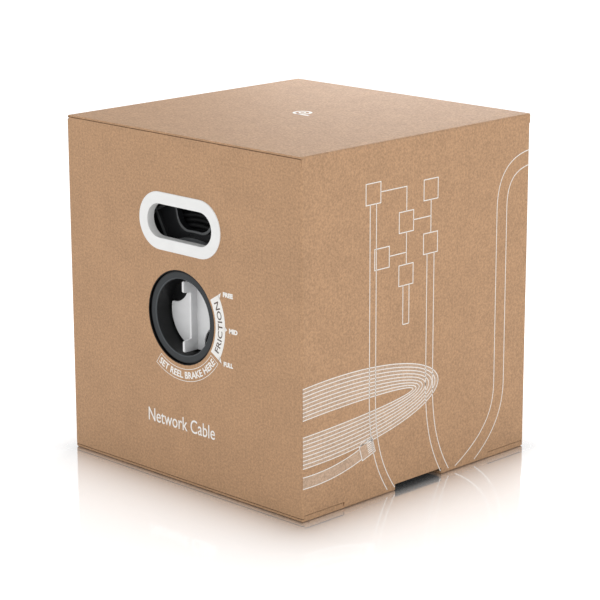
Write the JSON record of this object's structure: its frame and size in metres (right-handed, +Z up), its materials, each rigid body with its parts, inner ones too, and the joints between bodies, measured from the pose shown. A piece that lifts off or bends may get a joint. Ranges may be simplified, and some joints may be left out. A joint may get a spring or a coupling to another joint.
{
  "type": "cable spool box",
  "caption": "Lidded corrugated carton that pays out cable from a spool on moulded stub axles, with a recessed brake knob and grommeted hand holes.",
  "frame": {"origin": "centre of the carton's bottom face", "axes": "+Z up, -Y out of the wall with the brake knob, +X out of the wall that the lid hinges on"},
  "size_m": [0.35, 0.3462, 0.369],
  "materials": {
    "kraft_board": "kraft corrugated board, matte, speckled",
    "liner_board": "kraft corrugated board, matte",
    "white_plastic": "moulded, satin gloss",
    "light_plastic": "moulded, light grey, satin gloss",
    "black_plastic": "moulded, fine texture",
    "spool_plastic": "moulded, semi-matte",
    "acetal": "natural acetal, waxy",
    "friction_rubber": "ground friction face",
    "spring_steel": "drawn wire",
    "zinc_steel": "bright zinc plate",
    "core_board": "spiral wound paper tube",
    "cable_jacket": "extruded PVC jacket"
  },
  "bodies": {
    "carton": {"wall_sleeve": "kraft_board", "base_panel": "kraft_board", "base_tuck_flap": "kraft_board", "base_front_flap": "kraft_board", "base_rear_flap": "kraft_board", "front_liner": "liner_board", "rear_liner": "liner_board", "front_hand_bezel": "white_plastic", "rear_hand_bezel": "white_plastic", "front_hand_clip": "white_plastic", "rear_hand_clip": "white_plastic", "brake_cup": "black_plastic", "rear_cup": "black_plastic", "spring_retainer": "black_plastic", "return_spring": "spring_steel"},
    "lid": {"lid_panel": "kraft_board"},
    "tuck": {"lid_tuck_flap": "kraft_board"},
    "front_dust_flap": {"top_front_flap": "kraft_board"},
    "rear_dust_flap": {"top_rear_flap": "kraft_board"},
    "dial": {"knob": "light_plastic", "brake_cam": "acetal", "cam_washer": "zinc_steel", "cam_screw": "zinc_steel"},
    "brake": {"brake_piston": "acetal", "brake_pad": "friction_rubber"},
    "spool": {"front_flange": "spool_plastic", "rear_flange": "spool_plastic", "core_tube": "core_board", "front_hub": "spool_plastic", "rear_hub": "spool_plastic", "front_bush": "acetal", "rear_bush": "acetal", "front_hub_screws": "zinc_steel", "rear_hub_screws": "zinc_steel", "cable_winding": "cable_jacket"}
  },
  "joints": [
    {"name": "spool_spin", "type": "hinge", "parent": "carton", "child": "spool", "pos_m": [0, 0, 0.1785], "axis": [0, 1, 0], "continuous": true},
    {"name": "knob_turn", "type": "hinge", "parent": "carton", "child": "dial", "pos_m": [0, 0, 0.1785], "axis": [0, 1, 0], "range_deg": [0, 63]},
    {"name": "brake_slide", "type": "slide", "parent": "carton", "child": "brake", "axis": [0, 1, 0], "range_m": [0, 0.0019], "deforming": ["return_spring"]},
    {"name": "lid_hinge", "type": "hinge", "parent": "carton", "child": "lid", "pos_m": [0.175, 0, 0.369], "axis": [0, 1, 0], "range_deg": [0, 265]},
    {"name": "tuck_fold", "type": "hinge", "parent": "lid", "child": "tuck", "pos_m": [-0.1684, 0, 0.366], "axis": [0, 1, 0], "range_deg": [-60, 0]},
    {"name": "front_flap_fold", "type": "hinge", "parent": "carton", "child": "front_dust_flap", "pos_m": [0, -0.172, 0.366], "axis": [1, 0, 0], "range_deg": [0, 132.5]},
    {"name": "rear_flap_fold", "type": "hinge", "parent": "carton", "child": "rear_dust_flap", "pos_m": [0, 0.172, 0.366], "axis": [-1, 0, 0], "range_deg": [0, 132.5]}
  ],
  "couplings": [
    {"joint": "brake_slide", "follows": "knob_turn", "m_per_rad": 0.001727},
    {"joint": "front_flap_fold", "follows": "lid_hinge", "ratio": 0.5},
    {"joint": "rear_flap_fold", "follows": "lid_hinge", "ratio": 0.5}
  ]
}
